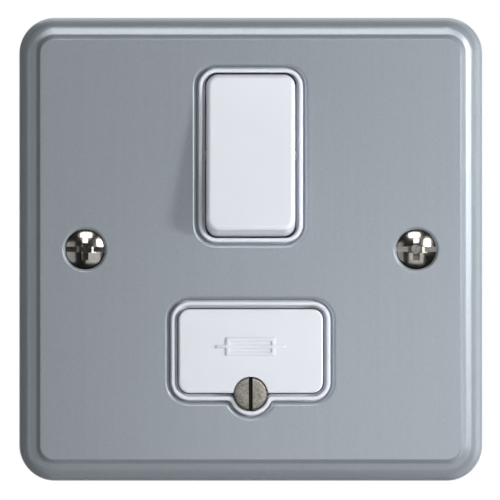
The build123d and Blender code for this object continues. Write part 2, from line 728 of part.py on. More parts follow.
with BuildPart() as load_neutral_strip:
    with BuildSketch(at_depth(FLOOR_DEPTH)):
        strip_run(
            -pole_inner,
            rocker_z - STRIP_WIDTH / 2,
            -NEUTRAL_RUN - STRIP_WIDTH / 2,
            rocker_z + STRIP_WIDTH / 2,
        )
        strip_run(-NEUTRAL_RUN - STRIP_WIDTH / 2, rocker_z, -NEUTRAL_RUN + STRIP_WIDTH / 2, -strip_end)
    extrude(amount=STRIP)
    extrude(cradle_section(-POLE_OFFSET), amount=BLADE_WIDTH / 2, both=True)
finish(load_neutral_strip, "load_neutral_strip")

# Earth straps lie in slots of the body, from their terminal block to a foot clamped under the plate
for name, (x, end) in zip(("supply_earth_strap", "load_earth_strap"), earth_places):
    with BuildPart() as earth_strap:
        with BuildSketch(Plane.YZ.offset(x)):
            with BuildLine():
                Polyline(
                    (FLOOR_DEPTH, end * chamber_top),
                    (FLOOR_DEPTH, end * body_top),
                    (plate_back, end * body_top),
                    (plate_back, end * (body_top - EARTH_FOOT)),
                    (plate_back + STRIP, end * (body_top - EARTH_FOOT)),
                    (plate_back + STRIP, end * (body_top - STRIP)),
                    (strip_front, end * (body_top - STRIP)),
                    (strip_front, end * chamber_top),
                    close=True,
                )
            make_face()
        extrude(amount=TAB_WIDTH / 2, both=True)
        bends = earth_strap.edges().filter_by(Axis.X)
        fillet(bends.filter_by(lambda e: abs(abs(e.center().Z) - body_top) < SEAT_GAP), BEND)
    finish(earth_strap, name)

# Fixed contact tips, riveted to the supply strips
with BuildPart() as fixed_contact_tips:
    with BuildSketch(at_depth(strip_front)):
        with Locations([(x, tip_z) for x in pole_places]):
            Circle(TIP_DIAMETER / 2)
    extrude(amount=strip_front - fixed_tip_front)
finish(fixed_contact_tips, "fixed_contact_tips")

# See-saw contacts, modelled open: the upper arm stands away from the fixed tip
seesaw_face = tilted_face(seesaw_y, rocker_z, -SEESAW_TILT)
tip_edge = tip_reach - sqrt(TIP_DOME**2 - (TIP_DIAMETER / 2) ** 2)
for pole, x in zip(("live", "neutral"), pole_places):
    across = side_of(seesaw_face).offset(x)
    with BuildPart() as moving_contact:
        with BuildSketch(across):
            with Locations(((BLADE_UP - BLADE_DOWN) / 2, FULCRUM_DROP + BLADE / 2)):
                Rectangle(BLADE_UP + BLADE_DOWN, BLADE)
            Circle(FULCRUM)
        extrude(amount=BLADE_WIDTH / 2, both=True)
    finish(moving_contact, f"{pole}_moving_contact")
    with BuildPart() as moving_tip:
        with BuildSketch(across):
            with BuildLine():
                apex = (TIP_ARM, FULCRUM_DROP - TIP_HEIGHT)
                dome = TangentArc(apex, (TIP_ARM + TIP_DIAMETER / 2, tip_edge), tangent=(1, 0))
                Polyline(
                    dome @ 1,
                    (TIP_ARM + TIP_DIAMETER / 2, FULCRUM_DROP),
                    (TIP_ARM, FULCRUM_DROP),
                    dome @ 0,
                )
            make_face()
        revolve(axis=Axis(across.from_local_coords((TIP_ARM, 0)), seesaw_face.z_dir))
    finish(moving_tip, f"{pole}_moving_tip")

# Rocker, modelled off: its lower end stands out of the collar
rocker_face = tilted_face(pivot_y, rocker_z, ROCKER_TILT)
rocker_side = side_of(rocker_face)


def rocker_section(radius, face):
    """Side outline: crowned front, end walls that are arcs about the pivot, open back."""
    shoulder = face - ROCKER_CROWN
    front = sqrt(radius**2 - shoulder**2)
    back = sqrt(radius**2 - ROCKER_SKIRT**2)
    with BuildSketch(rocker_side) as section:
        with BuildLine():
            ThreePointArc((-front, shoulder), (0, face), (front, shoulder))
            ThreePointArc((front, shoulder), (radius, 0), (back, -ROCKER_SKIRT))
            Line((back, -ROCKER_SKIRT), (-back, -ROCKER_SKIRT))
            ThreePointArc((-back, -ROCKER_SKIRT), (-radius, 0), (-front, shoulder))
        make_face()
    return section.sketch


pole_bores = [(x, 0) for x in pole_places]
bore_front = ROCKER_FACE - ROCKER_WALL
with BuildPart() as rocker:
    outside = rocker_section(ROCKER_END_RADIUS, ROCKER_FACE)
    extrude(outside, amount=ROCKER_WIDTH / 2, both=True)
    end_walls = rocker.faces().filter_by(GeomType.CYLINDER).sort_by(SortBy.AREA)[:2]
    fillet(end_walls.edges().filter_by(GeomType.CIRCLE), ROCKER_CORNER)
    front_face = rocker.faces().filter_by(GeomType.CYLINDER).sort_by(SortBy.AREA)[-1]
    fillet(front_face.edges(), ROCKER_EDGE)
    inside = rocker_section(ROCKER_END_RADIUS - ROCKER_WALL, ROCKER_FACE - ROCKER_WALL)
    extrude(inside, amount=ROCKER_WIDTH / 2 - ROCKER_WALL, both=True, mode=Mode.SUBTRACT)
    with BuildSketch(rocker_face.offset(-BORE_BACK)):
        with Locations(pole_bores):
            Circle(PLUNGER / 2 + PLUNGER_GAP + BORE_WALL)
    extrude(amount=BORE_BACK + ROCKER_FACE - ROCKER_WALL / 2)
    with BuildSketch(rocker_face.offset(-BORE_BACK)):
        with Locations(pole_bores):
            Circle(PLUNGER / 2 + PLUNGER_GAP)
    extrude(amount=BORE_BACK + bore_front, mode=Mode.SUBTRACT)
    for side in (1, -1):
        with BuildSketch(rocker_side.offset(side * (ROCKER_WIDTH / 2 - ROCKER_WALL))):
            Circle(TRUNNION / 2)
        extrude(amount=side * (ROCKER_WALL + TRUNNION_LENGTH))
finish(rocker, "rocker")

# Plungers and springs in the rocker's two bores
plunger_head = PLUNGER_LENGTH - PLUNGER_REACH
spring_length = bore_front - plunger_head - 2 * SPRING_END_GAP - SPRING_WIRE
for pole, x in zip(("live", "neutral"), pole_places):
    across = rocker_side.offset(x)
    with BuildPart() as plunger:
        with BuildSketch(across):
            with BuildLine():
                nose = TangentArc(
                    (0, -PLUNGER_REACH), (PLUNGER / 2, PLUNGER / 2 - PLUNGER_REACH), tangent=(1, 0)
                )
                Polyline(
                    nose @ 1,
                    (PLUNGER / 2, plunger_head),
                    (0, plunger_head),
                    nose @ 0,
                )
            make_face()
        revolve(axis=Axis(across.origin, rocker_face.z_dir))
    finish(plunger, f"{pole}_plunger")
    with BuildPart() as spring:
        start = across.from_local_coords((0, plunger_head + SPRING_END_GAP + SPRING_WIRE / 2))
        with BuildLine():
            coil = Helix(
                spring_length / SPRING_TURNS,
                spring_length,
                (SPRING_DIAMETER - SPRING_WIRE) / 2,
                center=start,
                direction=rocker_face.z_dir,
            )
        with BuildSketch(Plane(origin=coil @ 0, z_dir=coil % 0)):
            Circle(SPRING_WIRE / 2)
        sweep(path=coil, is_frenet=True)
    finish(spring, f"{pole}_plunger_spring")

# Fuse carrier: front, guiding skirt, lug for the captive screw and two saddles that hold the fuse
saddle_inside = FUSE_BARREL / 2 + SADDLE_GAP
saddle_outside = saddle_inside + SADDLE_WALL
with BuildPart() as fuse_carrier:
    with BuildSketch(at_depth(carrier_back)):
        with Locations((0, carrier_z)):
            RectangleRounded(CARRIER_WIDTH, CARRIER_HEIGHT, CARRIER_CORNER)
    extrude(amount=CARRIER_FACE)
    fillet(fuse_carrier.faces().sort_by(Axis.Y)[0].edges(), CARRIER_EDGE)
    with BuildSketch(at_depth(carrier_back + CARRIER_SKIRT)):
        with Locations((0, carrier_z)):
            RectangleRounded(CARRIER_WIDTH, CARRIER_HEIGHT, CARRIER_CORNER)
            RectangleRounded(
                CARRIER_WIDTH - 2 * CARRIER_WALL,
                CARRIER_HEIGHT - 2 * CARRIER_WALL,
                CARRIER_CORNER - CARRIER_WALL,
                mode=Mode.SUBTRACT,
            )
    extrude(amount=CARRIER_SKIRT)
    with BuildSketch(at_depth(lug_back)):
        with Locations((0, retainer_z)):
            Circle(RETAINER_HEAD / 2)
    extrude(amount=LUG_LENGTH)
    with BuildSketch(at_depth(retainer_seat)):
        with Locations((0, retainer_z)):
            Circle(RETAINER_HEAD / 2 + RETAINER_GAP)
    extrude(amount=RETAINER_HEAD_HEIGHT, mode=Mode.SUBTRACT)
    with BuildSketch(at_depth(lug_back)):
        with Locations((0, retainer_z)):
            Circle(LUG_HOLE / 2)
    extrude(amount=LUG_LENGTH, mode=Mode.SUBTRACT)
    with BuildSketch(at_depth(carrier_back + CARRIER_SKIRT)):
        with Locations((0, retainer_z)):
            Circle(WASHER_DIAMETER / 2 + RETAINER_GAP)
    extrude(amount=carrier_back + CARRIER_SKIRT - lug_back, mode=Mode.SUBTRACT)
    for x in (SADDLE_OFFSET, -SADDLE_OFFSET):
        with BuildSketch(Plane.YZ.offset(x)):
            with Locations((fuse_y, fuse_z)):
                Circle(saddle_outside)
            with Locations(((carrier_back + fuse_y) / 2, fuse_z)):
                Rectangle(fuse_y - carrier_back, 2 * saddle_outside)
            with Locations((fuse_y, fuse_z)):
                Circle(saddle_inside, mode=Mode.SUBTRACT)
            with Locations((fuse_y + saddle_outside / 2, fuse_z)):
                Rectangle(saddle_outside, SADDLE_MOUTH, mode=Mode.SUBTRACT)
        extrude(amount=SADDLE_WIDTH / 2, both=True)
finish(fuse_carrier, "fuse_carrier")

# Cartridge fuse
with BuildPart() as fuse_barrel:
    with BuildSketch(Plane.YZ):
        with Locations((fuse_y, fuse_z)):
            Circle(FUSE_BARREL / 2)
    extrude(amount=FUSE_LENGTH / 2 - CAP_WALL - SEAT_GAP, both=True)
finish(fuse_barrel, "fuse_barrel")

with BuildPart() as fuse_caps:
    for side in (1, -1):
        with BuildSketch(Plane.YZ.offset(side * (FUSE_LENGTH / 2 - FUSE_CAP))):
            with Locations((fuse_y, fuse_z)):
                Circle(FUSE_DIAMETER / 2)
        extrude(amount=side * FUSE_CAP)
    outer_rims = fuse_caps.edges().filter_by(GeomType.CIRCLE)
    fillet(outer_rims.group_by(Axis.X)[0] + outer_rims.group_by(Axis.X)[-1], CAP_EDGE)
    with BuildSketch(Plane.YZ):
        with Locations((fuse_y, fuse_z)):
            Circle(FUSE_BARREL / 2 + SEAT_GAP)
    extrude(amount=FUSE_LENGTH / 2 - CAP_WALL, both=True, mode=Mode.SUBTRACT)
finish(fuse_caps, "fuse_caps")

# Captive carrier screw, the washer that keeps it and the insert it turns into
with BuildPart() as carrier_screw:
    with BuildSketch(at_depth(retainer_seat)):
        with Locations((0, retainer_z)):
            Circle(RETAINER_HEAD / 2)
    extrude(amount=RETAINER_HEAD_HEIGHT)
    fillet(carrier_screw.edges().group_by(Axis.Y)[0], HEAD_EDGE)
    with BuildSketch(at_depth(retainer_seat + RETAINER_LENGTH)):
        with Locations((0, retainer_z)):
            Circle(RETAINER_SHANK / 2)
    extrude(amount=RETAINER_LENGTH)
    with BuildSketch(at_depth(carrier_front + RETAINER_SLOT_DEPTH)):
        with Locations((0, retainer_z)):
            Rectangle(RETAINER_SLOT, RETAINER_HEAD)
    extrude(amount=RETAINER_SLOT_DEPTH, mode=Mode.SUBTRACT)
finish(carrier_screw, "carrier_screw")

with BuildPart() as carrier_screw_washer:
    with BuildSketch(at_depth(lug_back + SEAT_GAP + WASHER)):
        with Locations((0, retainer_z)):
            Circle(WASHER_DIAMETER / 2)
            Circle(RETAINER_SHANK / 2 + THREAD_GAP, mode=Mode.SUBTRACT)
    extrude(amount=WASHER)
finish(carrier_screw_washer, "carrier_screw_washer")

with BuildPart() as carrier_insert:
    with BuildSketch(at_depth(PARTING_DEPTH)):
        with Locations((0, retainer_z)):
            Circle(INSERT_DIAMETER / 2)
            Circle(RETAINER_SHANK / 2 + THREAD_GAP, mode=Mode.SUBTRACT)
    extrude(amount=INSERT_LENGTH)
finish(carrier_insert, "carrier_insert")
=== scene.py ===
import bmesh
import bpy
import json
from math import cos, pi, radians, sin, sqrt
from mathutils import Matrix, Vector


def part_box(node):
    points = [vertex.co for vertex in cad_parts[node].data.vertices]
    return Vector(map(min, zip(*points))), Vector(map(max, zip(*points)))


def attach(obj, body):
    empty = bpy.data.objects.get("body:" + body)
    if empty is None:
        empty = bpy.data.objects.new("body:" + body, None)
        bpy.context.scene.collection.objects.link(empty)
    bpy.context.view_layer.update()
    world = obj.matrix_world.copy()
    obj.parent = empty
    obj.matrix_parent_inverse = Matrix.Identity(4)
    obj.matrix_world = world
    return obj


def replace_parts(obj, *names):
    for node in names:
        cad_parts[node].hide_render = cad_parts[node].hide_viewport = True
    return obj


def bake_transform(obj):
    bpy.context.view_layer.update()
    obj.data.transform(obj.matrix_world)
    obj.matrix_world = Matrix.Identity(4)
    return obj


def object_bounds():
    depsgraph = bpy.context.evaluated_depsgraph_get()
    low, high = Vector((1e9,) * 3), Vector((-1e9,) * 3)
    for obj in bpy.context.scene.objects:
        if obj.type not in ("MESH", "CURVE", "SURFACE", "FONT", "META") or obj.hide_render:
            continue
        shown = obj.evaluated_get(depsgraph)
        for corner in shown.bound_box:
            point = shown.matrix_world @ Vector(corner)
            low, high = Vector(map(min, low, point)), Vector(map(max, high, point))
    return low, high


# Looks of the switched fused connection unit, in metres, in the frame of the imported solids.
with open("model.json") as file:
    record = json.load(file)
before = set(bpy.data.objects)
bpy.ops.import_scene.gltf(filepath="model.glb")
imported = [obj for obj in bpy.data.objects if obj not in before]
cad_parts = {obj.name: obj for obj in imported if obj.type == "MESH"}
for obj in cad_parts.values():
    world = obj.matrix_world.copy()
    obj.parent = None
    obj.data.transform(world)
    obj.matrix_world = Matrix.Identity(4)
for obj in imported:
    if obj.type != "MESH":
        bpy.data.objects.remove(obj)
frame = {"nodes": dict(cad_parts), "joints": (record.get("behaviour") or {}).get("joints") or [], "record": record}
cad_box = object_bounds()
MM = 0.001

# Fixing screws: raised countersunk heads that reach up to the rolled mouths of their dimples.
# The thread starts at this y of the frame, just behind the cone. A recess is given by its half sizes at
# the mouth, those at its floor, and its depth: a slot across and up, a cross by the reach and half the
# width of its arms.
FIXING_CENTRES = 60.3 * MM
FIXING_HEAD = 7.5 * MM
FIXING_DOME = 0.65 * MM
FIXING_EDGE = 0.05 * MM
FIXING_CONE = 2.25 * MM
FIXING_NECK = 2.9 * MM
FIXING_THREAD = 3.5 * MM
FIXING_CORE = 2.8 * MM
FIXING_PITCH = 0.6 * MM
FIXING_THREAD_START = -4.65 * MM
FIXING_SLOT = ((4.2 * MM, 0.50 * MM), (4.2 * MM, 0.44 * MM), 0.8 * MM)
FIXING_CROSS = ((2.15 * MM, 0.62 * MM), (0.8 * MM, 0.42 * MM), 1.7 * MM)
FIXING_SIDES = 64

# Carrier screw: cheese head with one deep slot, which stands upright.
CARRIER_SCREW_HEAD = 6.0 * MM
CARRIER_SCREW_HEAD_DEPTH = 2.0 * MM
CARRIER_SCREW_EDGE = 0.3 * MM
CARRIER_SCREW_SHANK = 2.9 * MM
CARRIER_SCREW_CORE = 2.36 * MM
CARRIER_SCREW_PITCH = 0.5 * MM
CARRIER_SCREW_PLAIN = 5.6 * MM
CARRIER_SCREW_RUNOUT = 0.1 * MM
CARRIER_SCREW_SLOT = ((0.36 * MM, 4.0 * MM), (0.30 * MM, 4.0 * MM), 1.4 * MM)
CARRIER_SCREW_SIDES = 48

# Rolled threads: rings in each turn, how far the crest is cut flat, and the tip as a share of the core
RINGS_PER_TURN = 8
CREST_FLAT = 1.25
TIP_TAPER = 0.8
# The cutter of a recess starts above the head by this share of its depth.
CUTTER_RISE = 0.4
# Edges that turn by more degrees than this stay sharp.
SHARP_ANGLE = 32

# Fuse symbol, in millimetres: the height of its middle, and from there the edges of its strokes
MARK_MIDDLE = -17.7
MARK_ACROSS = (-6.3, -4.5, -3.8, 3.8, 4.5, 6.3)
MARK_UP = (-1.65, -0.95, -0.32, 0.32, 0.95, 1.65)
# How deep it is set into the carrier, how far it stands out, and its rounding, in metres
MARK_SUNK = 0.05 * MM
MARK_PROUD = 0.25 * MM
MARK_ROUND = 0.12 * MM

# Stage and camera
FLOOR_BELOW = 40 * MM
FLOOR_REACH = 3.0
FLOOR_WHITE_FROM = -0.14
FLOOR_WHITE_AT = 0.28
CAMERA_AWAY = 1.2
CAMERA_LENS = 471.6
CAMERA_SENSOR = 36
# The middle of the photograph lies this far to the left of the unit's middle, and below it.
CAMERA_OFF_MIDDLE = 0.13 * MM


# Shared tools

def linear(hex_colour):
    """An sRGB hex colour as linear RGBA."""
    shares = [int(hex_colour[i:i + 2], 16) / 255 for i in (1, 3, 5)]
    return [s / 12.92 if s <= 0.04045 else ((s + 0.055) / 1.055) ** 2.4 for s in shares] + [1.0]


def add(tree, kind, inputs=None, **settings):
    """A node with its settings; an input is a value, or the output socket that feeds it."""
    node = tree.nodes.new(kind)
    for name, value in settings.items():
        setattr(node, name, value)
    for socket, value in (inputs or {}).items():
        if isinstance(value, bpy.types.NodeSocket):
            tree.links.new(value, node.inputs[socket])
        else:
            node.inputs[socket].default_value = value
    return node


def per(millimetres):
    """Texture scale at which a pattern repeats about once in this length."""
    return 1 / (millimetres * MM)


def start_finish(name):
    """A new material: its tree, its shader and the place on the piece in metres."""
    material = bpy.data.materials.new(name)
    material.use_nodes = True
    tree = material.node_tree
    shader = tree.nodes["Principled BSDF"]
    place = add(tree, "ShaderNodeTexCoord").outputs["Object"]
    return material, tree, shader, place


def wire(tree, shader, sources):
    """Feeds sockets of a shader, each from the first output of a node."""
    for socket, node in sources.items():
        tree.links.new(node.outputs[0], shader.inputs[socket])


def stand(name, data):
    """A new object in the scene."""
    piece = bpy.data.objects.new(name, data)
    bpy.context.scene.collection.objects.link(piece)
    return piece


def meshed(name, form):
    """A mesh of a finished form."""
    mesh = bpy.data.meshes.new(name)
    form.to_mesh(mesh)
    form.free()
    return mesh


# Finishes

def satin_lacquer():
    # Metallic grey lacquer sprayed on pressed steel: a wide soft sheen, fine flakes and faint drawn streaks.
    material, tree, shader, place = start_finish("satin_metallic_lacquer")
    # The 0.05 mm flake is drawn at 0.45 mm, so that it shows at all.
    flake = add(tree, "ShaderNodeTexNoise", {"Vector": place, "Scale": per(0.45), "Detail": 3.0})
    # Streaks of the drawn sheet, about 0.7 mm wide and 45 mm long.
    drawn = add(tree, "ShaderNodeMapping", {"Vector": place, "Scale": (per(0.7), per(0.7), per(45))})
    streak = add(tree, "ShaderNodeTexNoise", {"Vector": drawn.outputs[0], "Scale": 1.0, "Detail": 2.0})
    # The streaks count for a quarter of the shade, and the flakes for the rest.
    both = add(tree, "ShaderNodeMath", {
        0: streak.outputs[0], 1: 0.33, 2: flake.outputs[0]}, operation="MULTIPLY_ADD")
    spread = add(tree, "ShaderNodeMapRange", {"Value": both.outputs[0], "From Min": 0.35, "From Max": 0.98})
    shade = add(tree, "ShaderNodeValToRGB", {"Fac": spread.outputs[0]})
    shade.color_ramp.elements[0].color = linear("#AAB2BA")
    shade.color_ramp.elements[1].color = linear("#B3BBC3")
    sheen = add(tree, "ShaderNodeMapRange", {"Value": flake.outputs[0], "To Min": 0.28, "To Max": 0.35})
    # Orange peel of the spray, about 1.4 mm across and a few micrometres high.
    peel = add(tree, "ShaderNodeTexNoise", {"Vector": place, "Scale": per(1.4), "Detail": 1.0})
    relief = add(tree, "ShaderNodeBump", {
        "Height": peel.outputs[0], "Strength": 0.25, "Distance": 0.01 * MM})
    wire(tree, shader, {"Base Color": shade, "Roughness": sheen, "Normal": relief})
    shader.inputs["Metallic"].default_value = 0.5
    return material


def moulded_plastic(name, face, shadow, gloss, ior):
    # Hard plastic from a polished mould: opaque, smooth, glossy, with a faint cloud in its colour.
    material, tree, shader, place = start_finish(name)
    # The cloud is about 9 mm across.
    cloud = add(tree, "ShaderNodeTexNoise", {"Vector": place, "Scale": per(9), "Detail": 3.0})
    shade = add(tree, "ShaderNodeValToRGB", {"Fac": cloud.outputs[0]})
    shade.color_ramp.elements[0].color = linear(shadow)
    shade.color_ramp.elements[1].color = linear(face)
    # Polishing marks of the mould, about 0.6 mm across.
    polish = add(tree, "ShaderNodeTexNoise", {"Vector": place, "Scale": per(0.6), "Detail": 2.0})
    sheen = add(tree, "ShaderNodeMapRange", {
        "Value": polish.outputs[0], "To Min": gloss - 0.04, "To Max": gloss + 0.04})
    relief = add(tree, "ShaderNodeBump", {
        "Height": polish.outputs[0], "Strength": 0.1, "Distance": 0.005 * MM})
    wire(tree, shader, {"Base Color": shade, "Roughness": sheen, "Normal": relief})
    shader.inputs["IOR"].default_value = ior
    return material


def worked_metal(name, light, dark, gloss, grain, relief_height, slot_top=None):
    # Plated or bare metal after forming: it mirrors in its own colour, with fine handling and tool marks.
    # The marks are as wide as the grain and as high as the relief, both in millimetres.
    material, tree, shader, place = start_finish(name)
    marks = add(tree, "ShaderNodeTexNoise", {
        "Vector": place, "Scale": per(grain), "Detail": 4.0, "Roughness": 0.6})
    spread = add(tree, "ShaderNodeMapRange", {"Value": marks.outputs[0], "From Min": 0.3, "From Max": 0.7})
    shade = add(tree, "ShaderNodeValToRGB", {"Fac": spread.outputs[0]})
    shade.color_ramp.elements[0].color = linear(dark)
    shade.color_ramp.elements[1].color = linear(light)
    sheen = add(tree, "ShaderNodeMapRange", {
        "Value": marks.outputs[0], "To Min": gloss + 0.08, "To Max": gloss - 0.04})
    relief = add(tree, "ShaderNodeBump", {
        "Height": marks.outputs[0], "Strength": 0.5, "Distance": relief_height * MM})
    if slot_top is not None:
        # Painted shade: the slot is darkened from 0.4 to 1.2 mm below the face of the head, where shade falls
        # inside it.
        depth = add(tree, "ShaderNodeSeparateXYZ", {0: place})
        painted_slot_shade = add(tree, "ShaderNodeMapRange", {
            "Value": depth.outputs["Y"], "From Min": slot_top + 0.4 * MM, "From Max": slot_top + 1.2 * MM})
        shade = add(tree, "ShaderNodeMixRGB", {
            0: painted_slot_shade.outputs[0], 1: shade.outputs[0], 2: linear("#3B3834")})
    wire(tree, shader, {"Base Color": shade, "Roughness": sheen, "Normal": relief})
    shader.inputs["Metallic"].default_value = 1.0
    return material


def fuse_ceramic():
    # Unglazed steatite tube: warm white, dull, with fine dark grains about 0.35 mm across.
    material, tree, shader, place = start_finish("fuse_steatite")
    grains = add(tree, "ShaderNodeTexNoise", {"Vector": place, "Scale": per(0.35), "Detail": 3.0})
    shade = add(tree, "ShaderNodeValToRGB", {"Fac": grains.outputs[0]})
    shade.color_ramp.elements[0].position = 0.3
    shade.color_ramp.elements[0].color = linear("#CFC7B6")
    shade.color_ramp.elements[1].position = 0.6
    shade.color_ramp.elements[1].color = linear("#E6DFD0")
    relief = add(tree, "ShaderNodeBump", {
        "Height": grains.outputs[0], "Strength": 0.3, "Distance": 0.02 * MM})
    wire(tree, shader, {"Base Color": shade, "Normal": relief})
    shader.inputs["Roughness"].default_value = 0.62
    shader.inputs["IOR"].default_value = 1.6
    return material


UREA_IOR = 1.55
ACETAL_IOR = 1.48
FINISHES = {
    "plate_finish": satin_lacquer(),
    # Urea, hot-pressed: cold white and glossy in front, cream and duller behind the plate.
    "white_moulding": moulded_plastic("white_urea", "#E3E6ED", "#DEE2EA", 0.24, UREA_IOR),
    "housing_moulding": moulded_plastic("housing_urea", "#E2E2DC", "#DAD9D2", 0.42, UREA_IOR),
    # Bright nickel gives sharp mirror images, the tumbled one a grainy grey face.
    "nickel_plate": worked_metal("bright_nickel", "#CFCDC8", "#BDBAB4", 0.12, 0.8, 0.004),
    # The tumbled screw's slot gets painted shade below the face of its head.
    "screw_matt": worked_metal(
        "tumbled_nickel", "#DAD6CE", "#989389", 0.42, 0.35, 0.03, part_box("carrier_screw")[0].y),
    # Clear zinc is bluish and soft.
    "zinc_plate": worked_metal("clear_zinc", "#C8CCD0", "#AEB4BA", 0.3, 0.7, 0.008),
    # Brass is yellow, brighter where it was turned than where it was rolled.
    "brass": worked_metal("turned_brass", "#D9B96E", "#BE9A52", 0.24, 0.6, 0.006),
    "strip_brass": worked_metal("rolled_brass", "#D2AE63", "#B8934D", 0.3, 1.2, 0.005),
    # Silver tips are white and soft, drawn spring steel dark grey with a hard shine.
    "silver": worked_metal("contact_silver", "#E4E0D8", "#CFCAC0", 0.22, 0.5, 0.004),
    "spring_steel": worked_metal("drawn_spring_steel", "#A9A9A8", "#8B8B8A", 0.28, 0.5, 0.004),
    # Acetal is a soft waxy white.
    "plunger_plastic": moulded_plastic("plunger_acetal", "#EFEDE6", "#E6E3DA", 0.38, ACETAL_IOR),
    "fuse_ceramic": fuse_ceramic(),
}


def dress_nodes():
    """Every carried-over solid takes the finish of its slot in the record."""
    for row in frame["record"]["subparts"]:
        for place in frame["nodes"][row["node"]].material_slots:
            place.material = FINISHES[row["material_slot"]]


# Turned and moulded details

def show(name, mesh, body, slot):
    """A finished mesh as a piece that rides on a body and has the finish of a slot."""
    piece = stand(name, mesh)
    mesh.materials.append(FINISHES[slot])
    mesh.shade_smooth()
    mesh.set_sharp_from_angle(angle=radians(SHARP_ANGLE))
    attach(piece, body)
    return piece


def screw_form(profile, crest, root, pitch, thread_start, tip, sides):
    """Turned screw on the Y axis: a profile of radius and depth, then a rolled thread to the tip."""
    turns = [2 * pi * k / sides for k in range(sides)]
    rings = [[(radius, depth) for _ in turns] for radius, depth in profile]
    length = tip - thread_start
    steps = round(length / pitch * RINGS_PER_TURN)
    for step in range(steps + 1):
        along = length * step / steps
        # The first and last turn run out into the core.
        full = min(1.0, along / pitch, (length - along) / pitch)
        ring = []
        for turn in turns:
            vee = abs(2 * ((along / pitch - turn / (2 * pi)) % 1.0) - 1)
            height = (crest - root) * full * min(1.0, CREST_FLAT * vee)
            ring.append((root + height, thread_start + along))
        rings.append(ring)
    rings.append([(TIP_TAPER * root, tip) for _ in turns])
    form = bmesh.new()
    loops = []
    for ring in rings:
        loops.append([form.verts.new((r * cos(t), y, r * sin(t))) for (r, y), t in zip(ring, turns)])
    for near, far in zip(loops, loops[1:]):
        for k in range(sides):
            n = (k + 1) % sides
            form.faces.new((near[k], near[n], far[n], far[k]))
    form.faces.new(loops[0])
    form.faces.new(loops[-1])
    bmesh.ops.recalc_face_normals(form, faces=form.faces)
    return form


def slot_outline(half_across, half_up):
    """Corners of a slot, as x and z."""
    a, b = half_across, half_up
    return [(-a, -b), (a, -b), (a, b), (-a, b)]


def cross_outline(reach, half_width):
    """Corners of a cross with four equal arms, as x and z."""
    a, b = reach, half_width
    return [(b, -a), (b, -b), (a, -b), (a, b), (b, b), (b, a),
            (-b, a), (-b, b), (-a, b), (-a, -b), (-b, -b), (-b, -a)]


def cut_recesses(form, top, recesses):
    """Mesh of a screw with tapered recesses cut into its head, each an outline and its sizes."""
    piece = stand("screw", meshed("screw", form))
    for outline, (mouth, base, depth) in recesses:
        cut = bmesh.new()
        levels = []
        # The cutter starts above the head, on the same slopes.
        for share in (-CUTTER_RISE, 1.0):
            levels.append([
                cut.verts.new((x + (far_x - x) * share, top + depth * share, z + (far_z - z) * share))
                for (x, z), (far_x, far_z) in zip(outline(*mouth), outline(*base))])
        corners = len(levels[0])
        for k in range(corners):
            n = (k + 1) % corners
            cut.faces.new((levels[0][k], levels[0][n], levels[1][n], levels[1][k]))
        cut.faces.new(levels[0])
        cut.faces.new(levels[1])
        bmesh.ops.recalc_face_normals(cut, faces=cut.faces)
        cutter = stand("recess", meshed("recess", cut))
        step = piece.modifiers.new("recess", "BOOLEAN")
        step.operation = "DIFFERENCE"
        step.solver = "EXACT"
        step.object = cutter
        bpy.context.view_layer.update()
        shaped = piece.evaluated_get(bpy.context.evaluated_depsgraph_get())
        cut_mesh = bpy.data.meshes.new_from_object(shaped)
        piece.modifiers.clear()
        piece.data = cut_mesh
        bpy.data.objects.remove(cutter)
    done = piece.data
    bpy.data.objects.remove(piece)
    return done


def fixing_screws():
    """Two raised countersunk screws with a slot across a tapered cross recess."""
    low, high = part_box("fixing_screws")
    top = low.y
    rim = FIXING_HEAD / 2
    ball = (rim * rim + FIXING_DOME * FIXING_DOME) / (2 * FIXING_DOME)
    profile = []
    # The dome ends just inside the edge of the head.
    dome_rings = 12
    for k in range(1, dome_rings + 1):
        radius = 0.98 * rim * k / dome_rings
        profile.append((radius, top + ball - sqrt(ball * ball - radius * radius)))
    edge = top + FIXING_DOME + FIXING_EDGE
    profile.append((rim, edge))
    profile.append((FIXING_NECK / 2, edge + FIXING_CONE))
    form = screw_form(
        profile, FIXING_THREAD / 2, FIXING_CORE / 2, FIXING_PITCH, FIXING_THREAD_START, high.y, FIXING_SIDES)
    one = cut_recesses(form, top, ((slot_outline, FIXING_SLOT), (cross_outline, FIXING_CROSS)))
    both = bmesh.new()
    for side in (1, -1):
        copy = one.copy()
        copy.transform(Matrix.Translation((side * FIXING_CENTRES / 2, 0, 0)))
        both.from_mesh(copy)
    mesh = meshed("fixing_screws_turned", both)
    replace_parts(show("fixing_screws_turned", mesh, "unit", "nickel_plate"), "fixing_screws")


def carrier_screw():
    """Captive cheese-head screw with a plain shank and a thread at its end."""
    low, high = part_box("carrier_screw")
    top = low.y
    seat = top + CARRIER_SCREW_HEAD_DEPTH
    shank = CARRIER_SCREW_SHANK / 2
    flat = CARRIER_SCREW_HEAD / 2 - CARRIER_SCREW_EDGE
    profile = [(flat * k / 3, top) for k in (1, 2, 3)]
    for angle in (0, 22.5, 45, 67.5, 90):
        out = CARRIER_SCREW_EDGE * sin(radians(angle))
        down = CARRIER_SCREW_EDGE * (1 - cos(radians(angle)))
        profile.append((flat + out, top + down))
    profile += [(CARRIER_SCREW_HEAD / 2, seat), (shank, seat), (shank, seat + CARRIER_SCREW_PLAIN)]
    form = screw_form(
        profile, shank, CARRIER_SCREW_CORE / 2, CARRIER_SCREW_PITCH,
        seat + CARRIER_SCREW_PLAIN + CARRIER_SCREW_RUNOUT, high.y, CARRIER_SCREW_SIDES)
    mesh = cut_recesses(form, top, ((slot_outline, CARRIER_SCREW_SLOT),))
    mesh.name = "carrier_screw_turned"
    mesh.transform(Matrix.Translation((0, 0, (low.z + high.z) / 2)))
    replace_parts(show("carrier_screw_turned", mesh, "carrier_screw", "screw_matt"), "carrier_screw")


